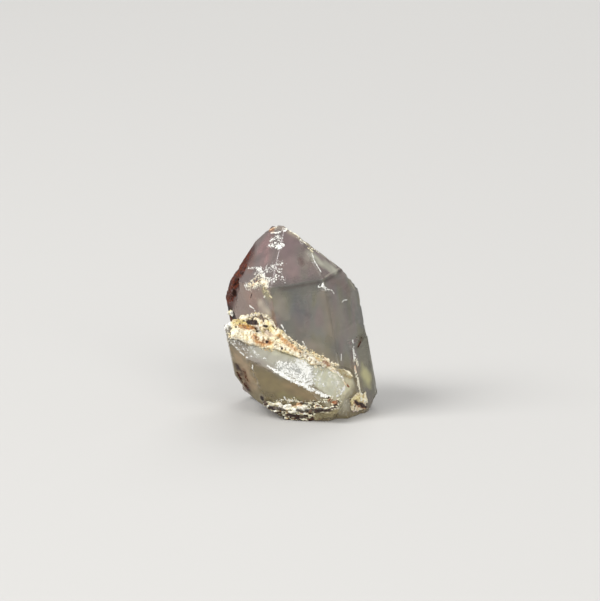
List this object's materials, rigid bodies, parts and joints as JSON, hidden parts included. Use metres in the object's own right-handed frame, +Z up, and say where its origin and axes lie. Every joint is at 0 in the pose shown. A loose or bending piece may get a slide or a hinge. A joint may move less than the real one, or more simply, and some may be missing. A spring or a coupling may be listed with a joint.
{
  "type": "smoky quartz with prehnite",
  "caption": "Stout smoky quartz crystal with a pointed end, a second crystal across its foot and a small one beside it, carrying lumpy prehnite and iron-stained crusts.",
  "frame": {"origin": "middle of the bounding box, at the level base that the specimen stands on", "axes": "+Z up, roughly along the main crystal; +X to the right as seen from the front; +Y away from the front, where the crossing crystal lies"},
  "size_m": [0.0434, 0.0374, 0.0526],
  "materials": {
    "smoky_quartz": "clear to milky, part frosted",
    "prehnite": "rough",
    "base_crust": "rough"
  },
  "bodies": {
    "root": {"smoky_quartz": "smoky_quartz", "prehnite_ledge_crust": "prehnite", "base_crust": "base_crust", "prehnite_foot_crust": "prehnite"}
  },
  "joints": []
}
